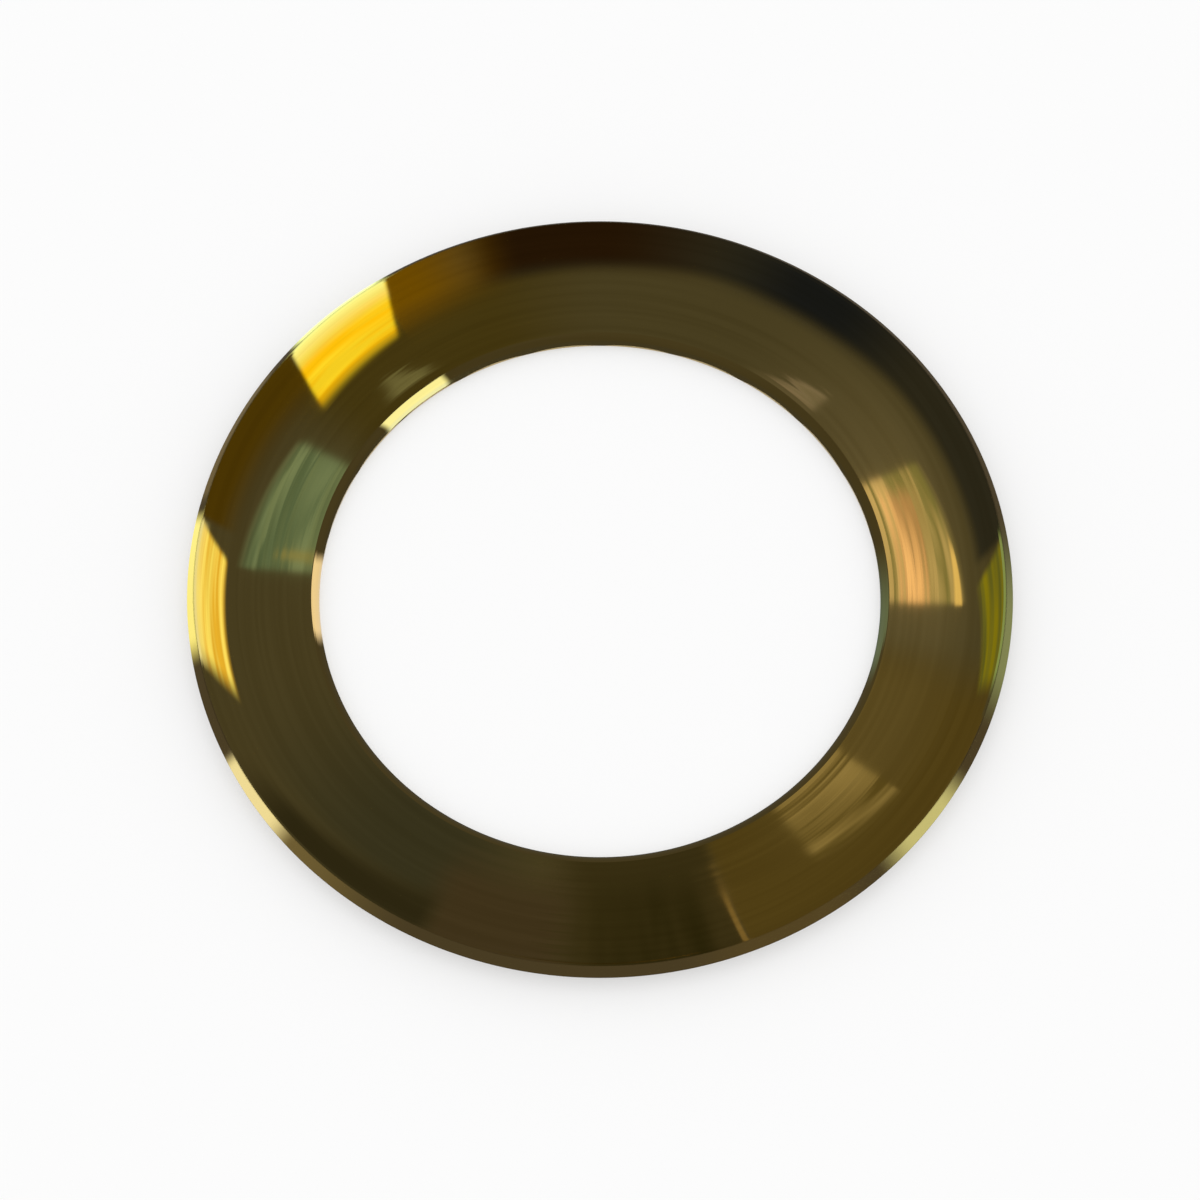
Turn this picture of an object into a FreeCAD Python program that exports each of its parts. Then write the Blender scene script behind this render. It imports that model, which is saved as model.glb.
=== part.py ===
import FreeCAD, Part
import math
import os
import Sketcher

os.makedirs("parts", exist_ok=True)
doc = FreeCAD.newDocument("wear_washer")

# Driving dimensions in millimetres and degrees
sheet = doc.addObject("Spreadsheet::Sheet", "Dimensions")
driving = [
    ("bore_diameter", 34.0, "hole that the shaft or sleeve passes through"),
    ("ring_width", 8.0, "from the bore's wall out to the lip"),
    ("thickness", 1.0, "same all over the section"),
    ("curl_radius", 7.5, "inside radius of the turned-up rim"),
    ("rim_angle", 30.0, "slope that the rim has reached at its lip"),
    ("edge_share", 0.2, "round on each lip edge, as a share of the thickness"),
    ("mouth_share", 0.6, "round at the top of the bore, as a share of the thickness"),
    ("base_share", 0.2, "round at the bottom of the bore, as a share of the thickness"),
]
row = 1
for name, value, note in driving:
    sheet.set("A%d" % row, name)
    sheet.set("B%d" % row, str(value))
    sheet.set("C%d" % row, note)
    sheet.setAlias("B%d" % row, name)
    row += 1

# Sizes worked from the driving dimensions: the lip's round touches the outer
# circle, and that sets where the flat ends and the curl begins
worked = [
    ("bore_radius", "=bore_diameter / 2"),
    ("outer_radius", "=bore_radius + ring_width"),
    ("edge_round", "=edge_share * thickness"),
    ("mouth_round", "=mouth_share * thickness"),
    ("base_round", "=base_share * thickness"),
    ("curl_outside", "=curl_radius + thickness"),
    ("lip_centre", "=curl_outside - edge_round"),
    ("lip_turn", "=asin(edge_round / lip_centre) / 1 deg"),
    ("lip_reach", "=lip_centre * sin((rim_angle - lip_turn) * 1 deg)"),
    ("curl_start", "=outer_radius - edge_round - lip_reach"),
]
for name, formula in worked:
    sheet.set("A%d" % row, name)
    sheet.set("B%d" % row, formula)
    sheet.setAlias("B%d" % row, name)
    row += 1
doc.recompute()

bore_radius = float(sheet.bore_radius)
thickness = float(sheet.thickness)
curl_radius = float(sheet.curl_radius)
curl_outside = float(sheet.curl_outside)
curl_start = float(sheet.curl_start)
rim_angle = math.radians(float(sheet.rim_angle))


def origin_part(body, role):
    """Give the plane or axis of the body's own origin that has this role."""
    for feature in body.Origin.OriginFeatures:
        if feature.Role == role:
            return feature
    raise ValueError("no origin feature with the role " + role)


# The ring as one turned and formed body
body = doc.addObject("PartDesign::Body", "wear_washer")
body.Label = "wear_washer"
section = body.newObject("Sketcher::SketchObject", "RingSection")
section.AttachmentSupport = [(origin_part(body, "XZ_Plane"), "")]
section.MapMode = "FlatFace"
doc.recompute()


def point(x, y):
    return FreeCAD.Vector(x, y, 0)


# Section of the ring: a flat seat, then a curl up to the lip
up = FreeCAD.Vector(0, 0, 1)
start_turn = 1.5 * math.pi
end_turn = start_turn + rim_angle
curl_middle = point(curl_start, curl_outside)


def on_curl(radius):
    return point(
        curl_start + radius * math.sin(rim_angle),
        curl_outside - radius * math.cos(rim_angle),
    )


outer_circle = Part.Circle(curl_middle, up, curl_outside)
inner_circle = Part.Circle(curl_middle, up, curl_radius)
under = section.addGeometry(
    Part.LineSegment(point(bore_radius, 0), point(curl_start, 0)), False)
back = section.addGeometry(
    Part.ArcOfCircle(outer_circle, start_turn, end_turn), False)
lip = section.addGeometry(
    Part.LineSegment(on_curl(curl_outside), on_curl(curl_radius)), False)
hollow = section.addGeometry(
    Part.ArcOfCircle(inner_circle, start_turn, end_turn), False)
face = section.addGeometry(
    Part.LineSegment(point(curl_start, thickness), point(bore_radius, thickness)), False)
wall = section.addGeometry(
    Part.LineSegment(point(bore_radius, thickness), point(bore_radius, 0)), False)

START, END, CENTRE = 1, 2, 3
BASE_LINE = -1


def rule(*words):
    return section.addConstraint(Sketcher.Constraint(*words))


def sized(alias, kind, *words):
    """Add one dimension to the section and tie it to a cell of the sheet."""
    number = rule(kind, *words)
    section.setExpression("Constraints[%d]" % number, "Dimensions." + alias)
    return number


# Corners meet, and each curl runs smoothly out of its flat
rule("Tangent", under, END, back, START)
rule("Coincident", back, END, lip, START)
rule("Coincident", lip, END, hollow, END)
rule("Tangent", hollow, START, face, START)
rule("Coincident", face, END, wall, START)
rule("Coincident", wall, END, under, START)
rule("Coincident", hollow, CENTRE, back, CENTRE)
rule("PointOnObject", under, START, BASE_LINE)
rule("Horizontal", under)
rule("Horizontal", face)
rule("Vertical", wall)
rule("PointOnObject", back, CENTRE, lip)

# Sizes of the section
sized("bore_radius", "DistanceX", BASE_LINE, START, under, START, bore_radius)
sized("curl_start", "DistanceX", BASE_LINE, START, under, END, curl_start)
sized("thickness", "DistanceY", wall, END, wall, START, thickness)
sized("curl_radius", "Radius", hollow, curl_radius)
turned = rule("Angle", back, rim_angle)
section.setExpression("Constraints[%d]" % turned, "Dimensions.rim_angle * 1 deg")
if section.solve() != 0:
    raise ValueError("the section does not solve")
doc.recompute()
print("section fully held:", section.FullyConstrained)

# Turn the section about the axis of the bore
ring = body.newObject("PartDesign::Revolution", "TurnedRing")
ring.Profile = section
ring.ReferenceAxis = (section, ["V_Axis"])
ring.Angle = 360
section.Visibility = False
doc.recompute()

def rounded(base, name, alias, corners):
    """Round the circular edges that pass through these corners of the section."""
    rings = {}
    for number, edge in enumerate(base.Shape.Edges, start=1):
        if edge.Closed:
            seam = edge.Vertexes[0].Point
            rings["Edge%d" % number] = point(math.hypot(seam.x, seam.y), seam.z)
    edge_names = []
    for corner in corners:
        nearest = min(rings, key=lambda found: rings[found].distanceToPoint(corner))
        edge_names.append(nearest)
    rounds = body.newObject("PartDesign::Fillet", name)
    rounds.Base = (base, edge_names)
    rounds.setExpression("Radius", "Dimensions." + alias)
    base.Visibility = False
    body.Tip = rounds
    doc.recompute()
    print(name, "on", edge_names)
    return rounds


# Round the two lip edges, then the wide mouth and the narrow base of the bore
lip_rounds = rounded(
    ring, "LipRounds", "edge_round", [on_curl(curl_outside), on_curl(curl_radius)])
mouth_round = rounded(
    lip_rounds, "MouthRound", "mouth_round", [point(bore_radius, thickness)])
base_round = rounded(
    mouth_round, "BaseRound", "base_round", [point(bore_radius, 0)])

# Every object is sound before it is written
for item in doc.Objects:
    state = list(item.State)
    if "Invalid" in state or "Error" in state:
        raise ValueError(item.Name + " did not recompute: " + str(state))
shape = body.Shape
if shape.isNull() or not shape.isValid():
    raise ValueError("the ring is not a sound solid")
if len(shape.Solids) != 1:
    raise ValueError("the ring must be one solid")
box = shape.optimalBoundingBox(False, False)
print("solids:", len(shape.Solids), "faces:", len(shape.Faces))
print("size: %.3f x %.3f x %.3f mm" % (box.XLength, box.YLength, box.ZLength))
print("lowest point: %.4f mm" % box.ZMin)
print("volume: %.1f mm3" % shape.Volume)
shape.exportStep("parts/" + body.Label + ".step")
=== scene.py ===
# %% [markdown]
# Wear washer: a ring of brass, turned bright, with a flat inner face and a rim
# that curls up to a crisp lip. The solid is already made at its real size. This
# lesson gives it the finish that the real one has, a pale floor to lie on, and
# a studio that draws the light and dark fields in the polished metal. Polished
# metal has hardly any look of its own: most of the work is in what it mirrors.
# The first cell loads the solid, and measures its box.

# %% Load the ring
import bmesh
import bpy
import math
from mathutils import Matrix, Vector


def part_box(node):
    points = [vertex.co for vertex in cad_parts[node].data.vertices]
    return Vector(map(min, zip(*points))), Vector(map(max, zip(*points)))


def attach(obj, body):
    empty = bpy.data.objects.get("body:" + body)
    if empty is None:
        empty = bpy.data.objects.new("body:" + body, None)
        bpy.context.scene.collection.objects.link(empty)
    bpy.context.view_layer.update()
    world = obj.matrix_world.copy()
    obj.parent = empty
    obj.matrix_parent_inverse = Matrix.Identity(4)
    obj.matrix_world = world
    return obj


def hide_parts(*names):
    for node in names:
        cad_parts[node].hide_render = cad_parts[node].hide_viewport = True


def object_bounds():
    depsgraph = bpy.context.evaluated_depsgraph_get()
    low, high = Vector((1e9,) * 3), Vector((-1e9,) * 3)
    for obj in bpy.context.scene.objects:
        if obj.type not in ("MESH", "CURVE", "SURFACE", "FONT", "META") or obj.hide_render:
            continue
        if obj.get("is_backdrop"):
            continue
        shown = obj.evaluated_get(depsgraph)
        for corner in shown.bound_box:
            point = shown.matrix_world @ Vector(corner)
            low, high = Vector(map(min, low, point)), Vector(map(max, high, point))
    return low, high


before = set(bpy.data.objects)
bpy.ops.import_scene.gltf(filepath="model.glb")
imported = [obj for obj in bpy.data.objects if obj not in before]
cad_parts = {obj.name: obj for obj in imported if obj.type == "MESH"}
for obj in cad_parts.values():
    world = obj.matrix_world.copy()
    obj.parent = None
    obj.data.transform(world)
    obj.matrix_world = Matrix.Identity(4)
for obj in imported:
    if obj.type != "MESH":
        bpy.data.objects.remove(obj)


def box_numbers():
    """Give the lowest and highest corner of the whole object as plain lists."""
    low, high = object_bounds()
    return [list(map(float, low)), list(map(float, high))]


solid_box = box_numbers()
print("solid box in mm:", [[round(v * 1000, 2) for v in corner] for corner in solid_box])

# %% [markdown]
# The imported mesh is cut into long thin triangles, which show as facets in a
# mirror finish. Subdividing it would only copy the facets. A ring is best made
# again as the lathe makes it: draw its section once, then spin it about the
# axis. The section has the same few sizes as the solid: bore, thickness, inside
# radius of the curl and its slope at the lip. Everything else follows from
# those. The skin is a hair smaller than the solid, so that it stays inside it.

# %% Sizes of the ring
MM = 0.001
LOW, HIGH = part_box("wear_washer")
HAIR = 0.008 * MM
OUTER_RADIUS = 0.5 * (HIGH.x - LOW.x) - HAIR
BORE_RADIUS = 17.0 * MM
THICKNESS = 1.0 * MM
CURL_RADIUS = 7.5 * MM
RIM_ANGLE = math.radians(30)
EDGE_ROUND = 0.2 * THICKNESS
MOUTH_ROUND = 0.6 * THICKNESS
BASE_ROUND = 0.2 * THICKNESS
CURL_OUTSIDE = CURL_RADIUS + THICKNESS
LIP_CENTRE = CURL_OUTSIDE - EDGE_ROUND
LIP_REACH = LIP_CENTRE * math.sin(RIM_ANGLE - math.asin(EDGE_ROUND / LIP_CENTRE))
CURL_START = OUTER_RADIUS - EDGE_ROUND - LIP_REACH
print("outer radius %.3f mm, curl starts at %.3f mm" % (OUTER_RADIUS / MM, CURL_START / MM))

# %% [markdown]
# The section starts as one upright edge at the bore. Extruding it outwards
# makes the flat, and spinning its end about the middle of the curl makes the
# turned-up rim, so both keep the same thickness. A bevel on the four corner
# points rounds them: on a point, a profile of 0.5 is a true quarter circle. The
# mouth of the bore has the widest round, because it is where a shaft goes in.
# The last stretch of the curl is one long step, so that the bevel has room.

# %% Draw the section
CURL_STEPS = 20
ROUND_STEPS = 8
LIP_STEP = 1.1 * EDGE_ROUND / CURL_RADIUS


def points_and_edges(geometry):
    """Keep the vertices and edges of what an operator made."""
    return [g for g in geometry if not isinstance(g, bmesh.types.BMFace)]


def ring_section():
    """Draw one side of the ring's section as flat faces in the XZ plane."""
    section = bmesh.new()
    low = section.verts.new((BORE_RADIUS, 0, 0))
    high = section.verts.new((BORE_RADIUS, 0, THICKNESS))
    wall = section.edges.new((low, high))
    end = points_and_edges(bmesh.ops.extrude_edge_only(section, edges=[wall])["geom"])
    moved = [g for g in end if isinstance(g, bmesh.types.BMVert)]
    flat = Vector((CURL_START - BORE_RADIUS, 0, 0))
    bmesh.ops.translate(section, verts=moved, vec=flat)
    middle = Vector((CURL_START, 0, CURL_OUTSIDE))
    for angle, steps in [(RIM_ANGLE - LIP_STEP, CURL_STEPS), (LIP_STEP, 1)]:
        spun = bmesh.ops.spin(
            section, geom=end, cent=middle, axis=(0, -1, 0),
            angle=angle, steps=steps, use_merge=False, use_duplicate=False)
        end = points_and_edges(spun["geom_last"])
    bmesh.ops.remove_doubles(section, verts=section.verts, dist=1e-7)
    corners = [v for v in section.verts if len(v.link_edges) == 2]
    print("section corners to round:", len(corners))
    for corner in corners:
        size = EDGE_ROUND
        if corner.co.x < BORE_RADIUS + BASE_ROUND:
            size = MOUTH_ROUND if corner.co.z > BASE_ROUND else BASE_ROUND
        bmesh.ops.bevel(
            section, geom=[corner], offset=size, offset_type="OFFSET",
            segments=ROUND_STEPS, profile=0.5, affect="VERTICES", material=-1)
    return section


# %% [markdown]
# Only the outline of the section is spun. The edges inside it go with their
# faces, and the long flats are cut into short stretches, so that the shading
# of the rounds doesn't bleed over them. A full turn with use_merge closes the
# ring without a seam. Doubles are merged before the normals are recalculated,
# because a spin can turn a shape inside out.

# %% Spin the ring
TURN_STEPS = 360
FLAT_CUTS = 14


def turned_ring(name):
    """Spin the outline of the section into a closed ring."""
    ring = ring_section()
    inner = [e for e in ring.edges if len(e.link_faces) == 2]
    bmesh.ops.delete(ring, geom=inner, context="EDGES_FACES")
    flats = [e for e in ring.edges if e.calc_length() > THICKNESS]
    bmesh.ops.subdivide_edges(ring, edges=flats, cuts=FLAT_CUTS)
    outline = list(ring.verts) + list(ring.edges)
    bmesh.ops.spin(
        ring, geom=outline, cent=(0, 0, 0), axis=(0, 0, 1),
        angle=2 * math.pi, steps=TURN_STEPS, use_merge=True, use_duplicate=False)
    bmesh.ops.remove_doubles(ring, verts=ring.verts, dist=1e-7)
    bmesh.ops.recalc_face_normals(ring, faces=ring.faces)
    for face in ring.faces:
        face.smooth = True
    open_edges = [e for e in ring.edges if len(e.link_faces) != 2]
    print(name, "faces:", len(ring.faces), "open edges:", len(open_edges))
    mesh = bpy.data.meshes.new(name)
    ring.to_mesh(mesh)
    ring.free()
    piece = bpy.data.objects.new(name, mesh)
    bpy.context.scene.collection.objects.link(piece)
    return piece


washer = turned_ring("turned_washer")
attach(washer, "root")
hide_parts("wear_washer")

# %% [markdown]
# Materials are built from nodes. These small helpers add a node, do a sum, map
# a range, mix two colours and work with arrows, so that each finish below reads
# as a few short lines.

# %% Helpers for nodes
def add(tree, kind, **settings):
    """Add one node and set its plain properties."""
    node = tree.nodes.new(kind)
    for name, value in settings.items():
        setattr(node, name, value)
    return node


def feed(tree, socket, value):
    """Give a socket another node's output, or a plain value."""
    if isinstance(value, bpy.types.NodeSocket):
        tree.links.new(value, socket)
    else:
        socket.default_value = value


def number(tree, operation, *inputs):
    """Add a Math node. Each input is a number or another node's output."""
    node = add(tree, "ShaderNodeMath", operation=operation)
    for socket, value in zip(node.inputs, inputs):
        feed(tree, socket, value)
    return node.outputs[0]


def span(tree, value, low, high, to_low=0.0, to_high=1.0, smooth=True):
    """Map a value from one range to another, held at both ends."""
    node = add(tree, "ShaderNodeMapRange", clamp=True)
    node.interpolation_type = "SMOOTHSTEP" if smooth else "LINEAR"
    names = ("Value", "From Min", "From Max", "To Min", "To Max")
    for name, part in zip(names, (value, low, high, to_low, to_high)):
        feed(tree, node.inputs[name], part)
    return node.outputs["Result"]


def blend(tree, factor, first, second, kind="RGBA", way="MIX"):
    """Mix two colours, or two arrows. Each is an output or a plain colour."""
    node = add(tree, "ShaderNodeMix", data_type=kind)
    if kind == "RGBA":
        node.blend_type = way
    for name, value in (("Factor", factor), ("A", first), ("B", second)):
        feed(tree, node.inputs[name], value)
    return node.outputs["Result"]


def arrow(tree, x=0.0, y=0.0, z=0.0):
    """Make an arrow from three numbers or outputs."""
    node = add(tree, "ShaderNodeCombineXYZ")
    for socket, value in zip(node.inputs, (x, y, z)):
        feed(tree, socket, value)
    return node.outputs[0]


def arrows(tree, operation, first, second=None, scale=None):
    """Add, scale or normalise arrows."""
    node = add(tree, "ShaderNodeVectorMath", operation=operation)
    feed(tree, node.inputs[0], first)
    if second is not None:
        feed(tree, node.inputs[1], second)
    if scale is not None:
        feed(tree, node.inputs["Scale"], scale)
    return node.outputs["Value"] if operation == "DOT_PRODUCT" else node.outputs[0]


def bands(tree, x, y, z, detail):
    """Give noise read at three places, from 0 to 1."""
    noise = add(tree, "ShaderNodeTexNoise")
    feed(tree, noise.inputs["Scale"], 1.0)
    feed(tree, noise.inputs["Detail"], detail)
    feed(tree, noise.inputs["Vector"], arrow(tree, x, y, z))
    return noise.outputs["Fac"]


print("helpers ready for shader trees")

# %% [markdown]
# On a lathe the tool leaves rings of fine grooves. Each groove leans the
# surface a little towards or away from the axis, and never sideways. So a lamp
# seen in the turned face is drawn out along the radius, and its sides stay
# sharp: that is why turned metal shows fans of light. An anisotropic shader
# smears the sides as well, so here the lean itself is made. The normal is
# tipped along the radius, a little more at the rim than at the bore, and rings
# of noise make it swing. A group keeps this one effect in one place.

# %% Lean of the turned face
LEAN_BORE = math.radians(4.5)
LEAN_RIM = math.radians(8.0)
SWING = math.radians(0.35)
RING_SETS = (  # rings to the metre, drift round the ring, detail, share
    (7.0 / MM, 1.5, 1.0, 1.0),
    (2.6 / MM, 1.0, 0.5, 2.2))


def leaning_normal(tree, normal, radius, out_x, out_y, given):
    """Tip the normal inwards by the lean and the rings. Gives it and the rings."""
    parts = []
    for rings, drift, detail, share in RING_SETS:
        noise = bands(
            tree, number(tree, "MULTIPLY", radius, rings), number(tree, "MULTIPLY", out_x, drift),
            number(tree, "MULTIPLY", out_y, drift), detail)
        parts.append(number(tree, "MULTIPLY", number(tree, "SUBTRACT", noise, 0.5), share))
    streak = number(tree, "ADD", *parts)
    steady = span(
        tree, radius, BORE_RADIUS, OUTER_RADIUS, given["Lean"], given["Lean at rim"], smooth=False)
    tip = number(tree, "ADD", steady, number(tree, "MULTIPLY", streak, given["Swing"]))
    inwards = arrows(
        tree, "SCALE", arrow(tree, out_x, out_y), scale=number(tree, "MULTIPLY", tip, -1.0))
    return arrows(tree, "NORMALIZE", arrows(tree, "ADD", normal, inwards)), streak


print("lean from %.1f to %.1f degrees" % (math.degrees(LEAN_BORE), math.degrees(LEAN_RIM)))

# %% [markdown]
# The lip of the real ring is cut square across the curl, and its mouth is a
# narrow slope. Both are crisp: each shows one tone across its width, and not a
# sweep of the whole room as a round does. They are only a few tenths of a
# millimetre wide, so their rounds stay in the mesh, and the group gives each
# side of the turn one steady slope. How far outwards the real normal points
# tells the two sides apart, and over the lip the turn comes later at the back.
# At the front the curl's side takes a gentler slope, because a steep one would
# mirror the ring itself there, in a line of specks. The mouth's part reaches
# past its round, where the smooth mesh still leans. The cut mask marks the
# lip's cut and the wall of the bore, which are less polished than the face.
# Their greyer, slightly darker brass is partly that unpolished cut and partly
# painted shade, standing in for the dark room that these steep edges mirror.

# %% Slopes of the lip and the mouth
LIP_START = CURL_START + CURL_RADIUS * math.sin(RIM_ANGLE) - EDGE_ROUND * math.cos(RIM_ANGLE)
CURL_LEAN = RIM_ANGLE + LEAN_RIM
FRONT_LEAN = math.radians(20)
LIP_LEAN = math.radians(90) - RIM_ANGLE
MOUTH_LEAN = math.radians(62)
MOUTH_END = BORE_RADIUS + MOUTH_ROUND + 0.2 * MM
FRONT_FROM, FRONT_TO = -0.5, -0.3
TURN_LEAST, TURN_SIDE, TURN_BACK = 0.15, 0.25, 0.28
MOUTH_TURN = -0.14
UNDERSIDE = 0.05


def crisp_normal(tree, radius, out_x, out_y, outward, upward):
    """Give the steady normal of the lip and the mouth, and the mask for both."""
    at_lip = number(tree, "GREATER_THAN", radius, LIP_START)
    at_mouth = number(tree, "LESS_THAN", radius, MOUTH_END)
    turn = number(tree, "MULTIPLY_ADD", out_y, TURN_BACK, TURN_SIDE)
    turn = number(tree, "MAXIMUM", turn, TURN_LEAST)
    curl = span(tree, out_y, FRONT_FROM, FRONT_TO, -FRONT_LEAN, -CURL_LEAN)
    over_lip = number(
        tree, "MULTIPLY_ADD", number(tree, "GREATER_THAN", outward, turn),
        number(tree, "SUBTRACT", LIP_LEAN, curl), curl)
    in_mouth = number(
        tree, "MULTIPLY_ADD", number(tree, "LESS_THAN", outward, MOUTH_TURN),
        LEAN_BORE - MOUTH_LEAN, -LEAN_BORE)
    slope = number(
        tree, "ADD", number(tree, "MULTIPLY", at_lip, over_lip),
        number(tree, "MULTIPLY", at_mouth, in_mouth))
    across = arrows(tree, "SCALE", arrow(tree, out_x, out_y), scale=number(tree, "SINE", slope))
    steady = arrows(tree, "ADD", across, arrow(tree, z=number(tree, "COSINE", slope)))
    either = number(tree, "MAXIMUM", at_lip, at_mouth)
    above = number(tree, "GREATER_THAN", upward, UNDERSIDE)
    return steady, number(tree, "MULTIPLY", either, above)


def cut_mask(tree, outward, upward):
    """Mark the cut of the lip and the wall of the bore."""
    lip = number(
        tree, "MULTIPLY", span(tree, outward, 0.0, 0.3), span(tree, upward, -0.6, -0.2))
    wall = span(tree, outward, -0.75, -0.95)
    return number(tree, "MAXIMUM", lip, wall)


print("lip cut leans %.0f degrees, from radius %.2f mm" % (math.degrees(LIP_LEAN), LIP_START / MM))

# %% [markdown]
# The group reads only Object coordinates and the normal, so the rings stay on
# the metal from every side. Its outputs are the normal, the rings as a value
# and the cut mask. The shader itself stays in the material.

# %% Rings group
def rings_group():
    """Make the group that gives the normal, the rings and the cut mask."""
    tree = bpy.data.node_groups.new("turning_rings", "ShaderNodeTree")
    face = tree.interface
    for name in ("Lean", "Lean at rim", "Swing"):
        face.new_socket(name=name, in_out="INPUT", socket_type="NodeSocketFloat")
    face.new_socket(name="Normal", in_out="OUTPUT", socket_type="NodeSocketVector")
    for name in ("Streak", "Cut"):
        face.new_socket(name=name, in_out="OUTPUT", socket_type="NodeSocketFloat")
    given = add(tree, "NodeGroupInput")
    result = add(tree, "NodeGroupOutput")
    place = add(tree, "ShaderNodeSeparateXYZ")
    feed(tree, place.inputs[0], add(tree, "ShaderNodeTexCoord").outputs["Object"])
    x, y = place.outputs["X"], place.outputs["Y"]
    squares = number(tree, "ADD", number(tree, "MULTIPLY", x, x), number(tree, "MULTIPLY", y, y))
    radius = number(tree, "SQRT", squares)
    out_x, out_y = number(tree, "DIVIDE", x, radius), number(tree, "DIVIDE", y, radius)
    normal = add(tree, "ShaderNodeNewGeometry").outputs["Normal"]
    outward = arrows(tree, "DOT_PRODUCT", normal, arrow(tree, out_x, out_y))
    parts = add(tree, "ShaderNodeSeparateXYZ")
    feed(tree, parts.inputs[0], normal)
    upward = parts.outputs["Z"]
    tipped, streak = leaning_normal(tree, normal, radius, out_x, out_y, given.outputs)
    steady, edges = crisp_normal(tree, radius, out_x, out_y, outward, upward)
    feed(tree, result.inputs["Normal"], blend(tree, edges, tipped, steady, kind="VECTOR"))
    feed(tree, result.inputs["Streak"], streak)
    feed(tree, result.inputs["Cut"], cut_mask(tree, outward, upward))
    print("rings group has", len(tree.nodes), "nodes")
    return tree


RINGS = rings_group()

# %% [markdown]
# Brass is a metal, so its colour lives in what it mirrors: the base colour
# tints every reflection. The rings darken it a little, as the grooves do. The
# cut edges are a little rougher, because the blade left them so and nobody
# polished them. Their greyer, slightly darker colour is partly that unpolished
# cut and partly painted shade, standing in for the dark room these edges mirror.
# The face is smooth enough to keep the sides of each field of light sharp.

# %% Turned brass
BRASS = (0.74, 0.53, 0.18, 1)
# The cut edges' colour is partly painted shade: a darker brass for the dark room they mirror.
CUT_BRASS_AND_SHADE = (0.62, 0.47, 0.20, 1)
RING_DARK = (0.91, 0.90, 0.86, 1)
RING_LIGHT = (1.0, 1.0, 1.0, 1)
FACE_ROUGH, CUT_ROUGH = 0.03, 0.12
STREAK_REACH = 0.35

brass = bpy.data.materials.new("turned_brass")
brass.use_nodes = True
tree = brass.node_tree
shader = tree.nodes["Principled BSDF"]
marks = add(tree, "ShaderNodeGroup", node_tree=RINGS)
for name, angle in (("Lean", LEAN_BORE), ("Lean at rim", LEAN_RIM), ("Swing", SWING)):
    marks.inputs[name].default_value = math.tan(angle)
grooves = span(tree, marks.outputs["Streak"], -STREAK_REACH, STREAK_REACH, smooth=False)
shade = blend(tree, grooves, RING_DARK, RING_LIGHT)
turned = blend(tree, 1.0, BRASS, shade, way="MULTIPLY")
# On the lip's cut and the bore's wall the colour is partly painted shade, as above.
feed(tree, shader.inputs["Base Color"], blend(tree, marks.outputs["Cut"], turned, CUT_BRASS_AND_SHADE))
feed(tree, shader.inputs["Metallic"], 1.0)
shine = span(tree, marks.outputs["Cut"], 0.0, 1.0, FACE_ROUGH, CUT_ROUGH, smooth=False)
feed(tree, shader.inputs["Roughness"], shine)
feed(tree, shader.inputs["Normal"], marks.outputs["Normal"])
washer.data.materials.append(brass)
print("brass material has", len(tree.nodes), "nodes")

# %% [markdown]
# The photograph was taken from the front and well above. A long lens far off
# keeps the outline nearly a true ellipse, as it is there, and the lens is
# worked out from how much of the picture the ring fills.

# %% Camera
CAMERA_ELEVATION = math.radians(66.3)
CAMERA_DISTANCE = 500 * MM
FRAME_PIXELS = 1200
RING_PIXELS = 412.9
SENSOR = 36
VIEW = Vector((0, -math.cos(CAMERA_ELEVATION), math.sin(CAMERA_ELEVATION)))
AIM = Vector((0, -0.43 * MM, THICKNESS))
eye = bpy.data.cameras.new("eye")
camera = bpy.data.objects.new("eye", eye)
bpy.context.scene.collection.objects.link(camera)
bpy.context.scene.camera = camera
camera.location = AIM + CAMERA_DISTANCE * VIEW
camera.rotation_euler = (-VIEW).to_track_quat("-Z", "Y").to_euler()
eye.sensor_width = SENSOR
eye.lens = CAMERA_DISTANCE * RING_PIXELS / (FRAME_PIXELS * OUTER_RADIUS) * SENSOR
print("lens in mm: %.1f" % eye.lens)

# %% [markdown]
# The floor is pale and matt, and takes the ring's soft shadow. The photograph
# has a white ground, so half of what the camera sees of the floor is plain
# white: that comes from the floor's own material and only for camera rays, so
# no more light falls on the ring. The floor lies a hair under the ring's seat,
# because two faces in one plane would flicker.

# %% Floor
FLOOR_DROP = 0.02 * MM
FLOOR_HALF = 2000 * MM
FLOOR_COLOUR = (0.96, 0.96, 0.96, 1)
FLOOR_ROUGH = 0.9
WHITE_SHARE = 0.5

floor_mesh = bpy.data.meshes.new("floor")
floor_bm = bmesh.new()
bmesh.ops.create_grid(
    floor_bm, x_segments=1, y_segments=1, size=FLOOR_HALF,
    matrix=Matrix.Translation((0, 0, -FLOOR_DROP)))
floor_bm.to_mesh(floor_mesh)
floor_bm.free()
floor = bpy.data.objects.new("floor", floor_mesh)
bpy.context.scene.collection.objects.link(floor)
floor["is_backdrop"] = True
chalk = bpy.data.materials.new("pale_floor")
chalk.use_nodes = True
tree = chalk.node_tree
matt = tree.nodes["Principled BSDF"]
feed(tree, matt.inputs["Base Color"], FLOOR_COLOUR)
feed(tree, matt.inputs["Roughness"], FLOOR_ROUGH)
seen = add(tree, "ShaderNodeLightPath").outputs["Is Camera Ray"]
both = add(tree, "ShaderNodeMixShader")
feed(tree, both.inputs["Fac"], number(tree, "MULTIPLY", seen, WHITE_SHARE))
feed(tree, both.inputs[1], matt.outputs[0])
feed(tree, both.inputs[2], add(tree, "ShaderNodeEmission").outputs[0])
feed(tree, tree.nodes["Material Output"].inputs["Surface"], both.outputs[0])
floor_mesh.materials.append(chalk)
print("floor is %.0f m wide" % (2 * FLOOR_HALF))

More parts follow.
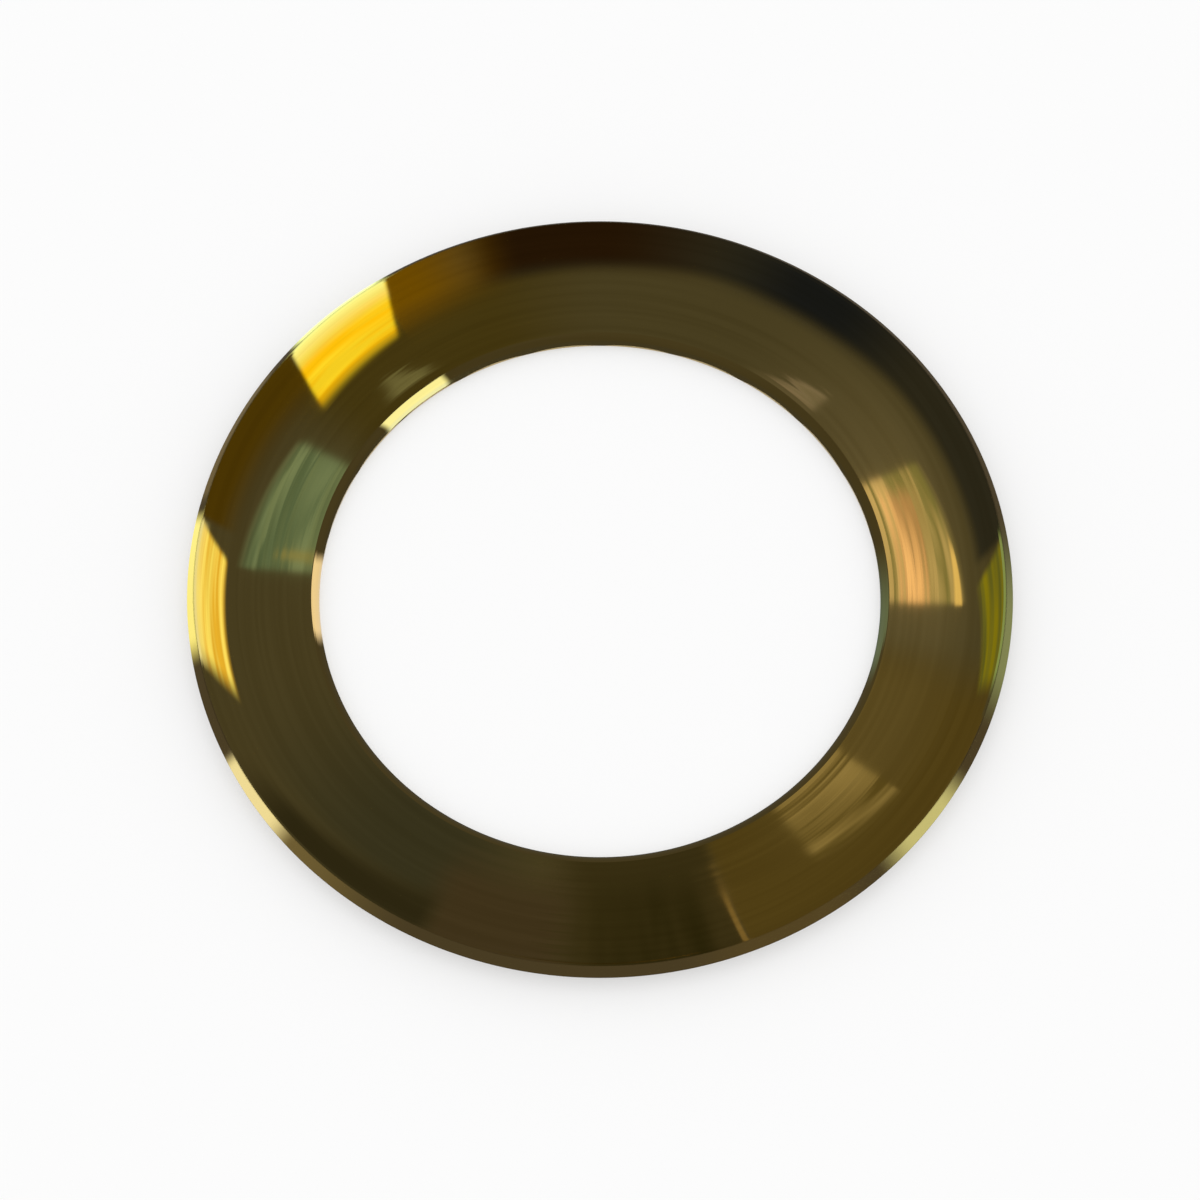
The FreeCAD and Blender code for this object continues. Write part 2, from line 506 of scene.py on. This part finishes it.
# %% [markdown]
# Polished metal is lit by what it mirrors, so the studio is a dim room with
# pale and coloured cards in it. Lamps would do for the light, but they can't
# draw a field with straight sides on the ring, and cards can. Each card is a
# small grid with a glow that fades at its sides. Only mirror rays see it, and
# it casts no shadow, so the floor stays plain. A second colour in bands, long
# ones or cross ones, gives the streaks that the real fields have.

# %% Glowing sheets
SHEETS = []
BAND_LOW, BAND_HIGH = 0.38, 0.62
BAND_DETAIL = 2.0
SHEET_CELLS = 24


def glow(name, light, soft, other, bars, lines):
    """Make the glow of a sheet. soft is how much of each side fades."""
    material = bpy.data.materials.new(name)
    material.use_nodes = True
    material.cycles.emission_sampling = "NONE"
    tree = material.node_tree
    place = add(tree, "ShaderNodeSeparateXYZ")
    feed(tree, place.inputs[0], add(tree, "ShaderNodeUVMap", uv_map="card").outputs["UV"])
    across, up = place.outputs["X"], place.outputs["Y"]
    start, end, low, high = soft
    mask = span(tree, across, 0.0, start)
    for fade in (span(tree, across, 1.0 - end, 1.0, 1.0, 0.0), span(tree, up, 0.0, low),
                 span(tree, up, 1.0 - high, 1.0, 1.0, 0.0)):
        mask = number(tree, "MULTIPLY", mask, fade)
    lamp = add(tree, "ShaderNodeEmission")
    feed(tree, lamp.inputs["Color"], (*light, 1))
    if other:
        noise = bands(
            tree, number(tree, "MULTIPLY", up, bars), number(tree, "MULTIPLY", across, lines),
            len(name), BAND_DETAIL)
        share = span(tree, noise, BAND_LOW, BAND_HIGH, smooth=False)
        feed(tree, lamp.inputs["Color"], blend(tree, share, (*light, 1), (*other, 1)))
    both = add(tree, "ShaderNodeMixShader")
    feed(tree, both.inputs["Fac"], mask)
    feed(tree, both.inputs[1], add(tree, "ShaderNodeBsdfTransparent").outputs[0])
    feed(tree, both.inputs[2], lamp.outputs[0])
    feed(tree, tree.nodes["Material Output"].inputs["Surface"], both.outputs[0])
    return material


def sheet(name, place, light, soft, other=None, bars=0.0, lines=0.0):
    """Hang a glowing sheet. place gives the spot for a share across and up."""
    grid = bmesh.new()
    grid.loops.layers.uv.new("card")
    bmesh.ops.create_grid(
        grid, x_segments=SHEET_CELLS, y_segments=SHEET_CELLS, size=1.0, calc_uvs=True)
    for v in grid.verts:
        v.co = place((v.co.x + 1) / 2, (v.co.y + 1) / 2)
    mesh = bpy.data.meshes.new(name)
    grid.to_mesh(mesh)
    grid.free()
    hung = bpy.data.objects.new(name, mesh)
    bpy.context.scene.collection.objects.link(hung)
    hung.visible_camera = hung.visible_diffuse = hung.visible_shadow = False
    hung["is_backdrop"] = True
    mesh.materials.append(glow(name, light, soft, other, bars, lines))
    SHEETS.append(hung)


print("sheets fade at their sides and glow in mirror rays only")

# %% [markdown]
# Where must a card hang, so that the ring shows it at a wanted place? Follow
# the sight line from the camera to that place, and mirror it there. The card
# hangs on a big dome around the ring, where the mirrored ray meets it. So each
# card below is given by what it looks like on the metal: four corners, each an
# angle round the ring in degrees and a radius in millimetres. Angles count
# from the right-hand side, anticlockwise. A corner inside the bore or outside
# the lip only lets the card run on past the edge. Then come the light, how much
# of each side fades, and how near the card hangs: of two cards that cross, the
# nearer one hides the other. A second light comes with its bands.

# %% Cards in the upper face
DOME = 800 * MM
STEEPEST = 0.99


def mirror(spot, lean, outwards):
    """Mirror the sight line at a spot. A lean above zero faces outwards."""
    normal = Vector((0, 0, math.cos(lean))) + outwards * math.sin(lean)
    sight = (camera.location - spot).normalized()
    return 2 * sight.dot(normal) * normal - sight


def round_the_ring(degrees):
    """Give the direction outwards at an angle round the ring."""
    around = math.radians(degrees)
    return Vector((math.cos(around), math.sin(around), 0))


def mirrored(degrees, radius):
    """Give the point on the dome that the face mirrors at this place."""
    outwards = round_the_ring(degrees)
    share = (radius - BORE_RADIUS) / (OUTER_RADIUS - BORE_RADIUS)
    curl = math.asin(min(max((radius - CURL_START) / CURL_RADIUS, 0.0), STEEPEST))
    spot = outwards * radius + Vector((0, 0, THICKNESS + CURL_RADIUS * (1 - math.cos(curl))))
    ray = mirror(spot, -(LEAN_BORE + (LEAN_RIM - LEAN_BORE) * share + curl), outwards)
    reach = spot.dot(ray)
    return spot + ray * (-reach + math.sqrt(reach * reach + DOME * DOME - spot.length_squared))


def card(name, corners, light, soft, near, other=None, bars=0.0, lines=0.0):
    """Hang a card that the upper face shows between four corners.

    The corners go from the start at the bore, to the end at the bore, the end
    at the rim and the start at the rim.
    """
    (a0, r0), (a1, r1), (a2, r2), (a3, r3) = corners

    def place(across, up):
        degrees = (a0 + (a1 - a0) * across) * (1 - up) + (a3 + (a2 - a3) * across) * up
        radius = (r0 + (r1 - r0) * across) * (1 - up) + (r3 + (r2 - r3) * across) * up
        return mirrored(degrees, radius * MM) * (1 - near)

    sheet(name, place, light, soft, other, bars, lines)


print("dome radius %.0f mm" % (DOME / MM))

# %% [markdown]
# The lip's cut and the mouth of the bore are so steep that they mirror the
# floor close by, not the room. A white floor would draw a glaring line round
# both edges, and the real ring's edges are dark. So a dim flag lies on the
# floor outside the ring and another inside it, seen only in the metal. Small
# bright cards lie on top of them where an edge has a highlight.

# %% Flags and low cards
LIP_EDGE = (OUTER_RADIUS - 0.25 * MM, 1.45 * MM, LIP_LEAN)
MOUTH_EDGE = (BORE_RADIUS + 0.3 * MM, 0.75 * MM, -MOUTH_LEAN)
FLAG_HEIGHT, UNDER_HEIGHT, CARD_HEIGHT = 0.03 * MM, 0.05 * MM, 0.06 * MM
NEAR_SHARE, REACH_SHARE = 0.15, 3
NO_FADE = 0.0001


def flag(name, inner, outer, light, fade):
    """Lay a flat dim ring on the floor."""
    def place(across, up):
        spot = round_the_ring(360 * across) * (inner + (outer - inner) * up)
        return Vector((spot.x, spot.y, FLAG_HEIGHT))

    sheet(name, place, light, (NO_FADE, NO_FADE, NO_FADE, fade))


def low_card(name, start, end, light, soft, edge=LIP_EDGE, height=CARD_HEIGHT):
    """Lay a card on the floor, where one edge of the ring mirrors to it."""
    radius, top, lean = edge

    def place(across, up):
        outwards = round_the_ring(start + (end - start) * across)
        spot = outwards * radius + Vector((0, 0, top))
        ray = mirror(spot, lean, outwards)
        spot = spot + ray * (top / -ray.z) * (NEAR_SHARE + REACH_SHARE * up)
        return Vector((spot.x, spot.y, height))

    sheet(name, place, light, soft)


flag("flag_outside", 22 * MM, 1900 * MM, (0.105, 0.096, 0.084), 0.05)
flag("flag_inside", 0.1 * MM, 16.98 * MM, (0.082, 0.080, 0.065), NO_FADE)
print("flags laid:", len(SHEETS))

# %% [markdown]
# The lip shows a pale end of each golden field, a highlight at the lower left
# and one at the lower right, a green gleam at the right and brown between them.
# The mouth has a pale highlight at the upper left and at the left, and a green
# gleam at the right. Each card is given by where it starts and ends round the
# ring. The brown ones lie under the bright ones.

# %% Highlights on the lip and the mouth
low_card("low_front", 121.5, 140.5, (1.56, 1.9, 0.9), (0.2, 0.2, 0.02, 0.1))
low_card("low_brown", 142, 167, (0.225, 0.200, 0.150), (0.2, 0.1, 0.02, 0.1), height=UNDER_HEIGHT)
low_card("low_right", 167.5, 192, (1.56, 1.7, 0.9), (0.12, 0.2, 0.02, 0.1))
low_card("low_left", 205.5, 222, (1.40, 1.50, 1.45), (0.15, 0.3, 0.02, 0.1))
low_card("low_left_tail", 216, 244, (0.25, 0.23, 0.16), (0.1, 0.8, 0.02, 0.1), height=UNDER_HEIGHT)
low_card("low_corner", 280, 312, (0.140, 0.122, 0.085), (0.4, 0.3, 0.02, 0.1), height=UNDER_HEIGHT)
low_card("low_far", 312, 332, (0.90, 1.04, 0.83), (0.35, 0.35, 0.02, 0.1))
low_card("low_green", 338, 372, (0.34, 0.46, 0.36), (0.3, 0.5, 0.02, 0.1))
low_card("mouth_front", 122.5, 140.5, (1.45, 1.80, 1.90), (0.1, 0.1, 0.02, 0.1), MOUTH_EDGE)
low_card("mouth_right", 170.5, 192, (1.20, 1.18, 1.35), (0.15, 0.2, 0.02, 0.1), MOUTH_EDGE)
low_card("mouth_green", 338, 372, (0.16, 0.25, 0.28), (0.3, 0.5, 0.02, 0.1), MOUTH_EDGE)
print("low cards laid:", len(SHEETS) - 2)

# %% [markdown]
# Two golden fields are the brightest part of the ring: one at its upper left,
# one at its left side. Both start in the curl and run up to the lip, where they
# turn pale. Each is a gold card with a paler card over its outer end. The light
# is just strong enough to bring the red of the brass to full, and no more, so
# the gold keeps its colour.

# %% Golden fields
card("key_front", [(125.5, 20.9), (144.5, 20.65), (140.5, 24.5), (122, 24.5)],
     (1.36, 1.02, 0.02), (0.05, 0.05, 0.28, 0.06), 0.03, (1.36, 1.28, 0.10), 8, 0.8)
card("key_front_edge", [(123, 23.15), (142, 23.15), (139, 26.3), (121.5, 26.3)],
     (1.36, 1.80, 1.4), (0.05, 0.05, 0.45, 0.02), 0.035)
card("key_right", [(174.5, 22.5), (200, 22.65), (192, 24.5), (168.5, 24.5)],
     (1.36, 1.40, 0.60), (0.06, 0.22, 0.16, 0.06), 0.03, (1.12, 0.84, 0.14), 9, 0.8)
card("key_right_edge", [(169.5, 23.75), (194, 23.75), (189.5, 26.3), (167.5, 26.3)],
     (1.30, 1.50, 1.5), (0.05, 0.10, 0.40, 0.02), 0.033)
print("sheets so far:", len(SHEETS))

# %% [markdown]
# On the flat near the bore lie softer fans: a tan one at the right with a
# strong warm streak in it and a pale one at its rim, a green-grey one at the
# left, a brown one at the front and two faint small ones at the back. The bands
# of their second colour are as broad as the swing of the rings, so the rings
# cut them into fine streaks.

# %% Fans near the bore
card("fan_right", [(-2.5, 16.35), (25, 16.35), (25, 21.4), (-2.5, 22.3)],
     (0.28, 0.31, 0.19), (0.05, 0.05, 0.02, 0.12), 0.03, (0.82, 0.74, 0.62), 8, 0.5)
card("fan_right_line", [(-2.5, 18.2), (24, 18.2), (22, 20.0), (-2.5, 20.0)],
     (0.58, 0.42, 0.34), (0.05, 0.2, 0.2, 0.2), 0.035, (1.55, 1.14, 1.00), 3.5, 0.6)
card("fan_right_rim", [(-2.5, 21.35), (12, 21.35), (10, 21.6), (-2.5, 22.0)],
     (1.0, 0.86, 0.54), (0.05, 0.4, 0.35, 0.25), 0.035)
card("fan_left", [(150, 16.35), (176, 16.35), (176, 22.25), (150, 21.2)],
     (0.12, 0.22, 0.24), (0.08, 0.04, 0.02, 0.16), 0.03, (0.28, 0.45, 0.50), 7, 0.5)
card("fan_left_line", [(170.5, 16.35), (174, 16.35), (173.5, 20.3), (171, 19.7)],
     (0.34, 0.40, 0.28), (0.3, 0.3, 0.1, 0.3), 0.035)
card("fan_front", [(305.5, 16.35), (324.5, 16.35), (324.5, 22.55), (305.5, 21.95)],
     (0.14, 0.125, 0.060), (0.12, 0.03, 0.04, 0.16), 0.03, (0.38, 0.35, 0.25), 7, 0.5)
card("fan_back", [(43, 16.35), (64, 16.35), (54, 18.2), (43, 19.75)],
     (0.30, 0.29, 0.38), (0.04, 0.6, 0.4, 0.12), 0.03, (0.19, 0.20, 0.20), 9, 0.6)
card("fan_far", [(120, 17.8), (138, 17.8), (133, 19.9), (127, 18.9)],
     (0.21, 0.245, 0.20), (0.3, 0.3, 0.4, 0.3), 0.03)
print("sheets so far:", len(SHEETS))

# %% [markdown]
# Between the bright fields the metal isn't black. It shows dim tones that tell
# of the room: blue-black and umber in the curl at the back, amber beside the
# first golden field, brown between the two, yellow-green at the right. These
# are wide screens with soft sides, a hundredth to a fifth as bright as white.

# %% Dim screens in the curl
card("screen_green", [(1, 22.6), (-18, 23.5), (-17, 24.5), (9, 24.5)],
     (0.150, 0.198, 0.072), (0.08, 0.2, 0.25, 0.1), 0.02, (0.29, 0.32, 0.026), 5, 0.6)
card("screen_green_edge", [(9, 24.25), (-17, 24.25), (-21, 26.3), (12, 26.3)],
     (0.30, 0.50, 0.35), (0.1, 0.2, 0.15, 0.1), 0.018)
card("screen_back", [(3, 22.55), (112, 21.35), (112, 25.75), (9, 25.75)],
     (0.033, 0.038, 0.050), (0.02, 0.12, 0.24, 0.02), 0.015)
card("screen_umber", [(66, 21.2), (113, 21.2), (113, 25.75), (66, 25.75)],
     (0.024, 0.014, 0.008), (0.5, 0.15, 0.35, 0.02), 0.017)
card("screen_blue", [(34, 21.7), (76, 21.1), (76, 25.45), (34, 25.45)],
     (0.012, 0.017, 0.040), (0.45, 0.45, 0.4, 0.3), 0.018)
card("screen_amber", [(102, 20.35), (124.5, 20.35), (124.5, 25.75), (102, 25.75)],
     (0.204, 0.128, 0.002), (0.8, 0.02, 0.5, 0.02), 0.019)
card("screen_brown", [(140, 20.95), (171, 22.05), (169, 25.75), (140, 25.75)],
     (0.092, 0.067, 0.007), (0.05, 0.05, 0.45, 0.02), 0.012)
card("screen_left", [(246, 21.1), (206, 23.15), (206, 24.45), (247, 24.45)],
     (0.038, 0.040, 0.034), (0.10, 0.35, 0.50, 0.06), 0.02)
print("sheets so far:", len(SHEETS))

# %% [markdown]
# At the front the ring mirrors upright things behind the camera: a pale column,
# a dark one with narrow bands, one thin bright line, and then a brown wall.
# They cross the whole face from bore to rim, so these cards do too. The walls
# come last and furthest out, and fill all that the other cards leave.

# %% Columns and walls
card("column_pale", [(240, 17.6), (268, 17.6), (268, 24.45), (240, 24.45)],
     (0.071, 0.064, 0.062), (0.25, 0.25, 0.5, 0.02), 0.012)
card("column_dark", [(265, 17.6), (290.5, 17.6), (290.5, 24.45), (265, 24.45)],
     (0.032, 0.032, 0.016), (0.22, 0.02, 0.5, 0.02), 0.02, (0.056, 0.054, 0.036), 0.4, 4)
card("column_line", [(290.2, 17.6), (291.2, 17.6), (291.2, 24.45), (290.2, 24.45)],
     (0.26, 0.21, 0.12), (0.2, 0.2, 0.6, 0.02), 0.03)
card("wall_low", [(258, 12.1), (291, 12.1), (291, 24.45), (258, 24.45)],
     (0.053, 0.052, 0.036), (0.3, 0.01, 0.02, 0.02), 0.01)
card("wall_front", [(291, 12.1), (352, 12.1), (352, 24.45), (291, 24.45)],
     (0.108, 0.093, 0.041), (0.01, 0.2, 0.02, 0.02), 0.01)
card("wall_corner", [(292, 12.1), (352, 12.1), (352, 23.75), (292, 23.75)],
     (0.143, 0.131, 0.083), (0.65, 0.2, 0.02, 0.4), 0.011)
card("wall_right", [(-30, 12.1), (66, 12.1), (66, 23.75), (-30, 23.75)],
     (0.147, 0.150, 0.146), (0.3, 0.5, 0.02, 0.3), 0.008)
card("wall_back", [(88, 12.1), (152, 12.1), (152, 23.75), (88, 23.75)],
     (0.076, 0.070, 0.029), (0.35, 0.2, 0.02, 0.2), 0.008)
card("wall_left", [(192, 12.1), (262, 12.1), (262, 23.75), (192, 23.75)],
     (0.053, 0.062, 0.066), (0.6, 0.3, 0.02, 0.2), 0.008)
print("sheets in the studio:", len(SHEETS))

# %% [markdown]
# The light on the floor is an even white sky, which gives the soft shadow of a
# light tent. A mirror ray that misses every card sees the dim room instead:
# Light Path tells the two apart. The view transform is Standard, so a colour
# renders as it is written.

# %% Studio light
ROOM = (0.087, 0.090, 0.080, 1)
WHITE = (1, 1, 1, 1)

world = bpy.data.worlds.new("studio")
bpy.context.scene.world = world
world.use_nodes = True
world.cycles.sampling_method = "NONE"
tree = world.node_tree
path = add(tree, "ShaderNodeLightPath")
tone = blend(tree, path.outputs["Is Glossy Ray"], WHITE, ROOM)
feed(tree, tree.nodes["Background"].inputs["Color"], tone)
bpy.context.scene.view_settings.view_transform = "Standard"
print("room seen in the metal:", ROOM[:3])

# %% Sizes for comparison
skin_box = box_numbers()
print("skin box in mm:", [[round(v * 1000, 2) for v in corner] for corner in skin_box])
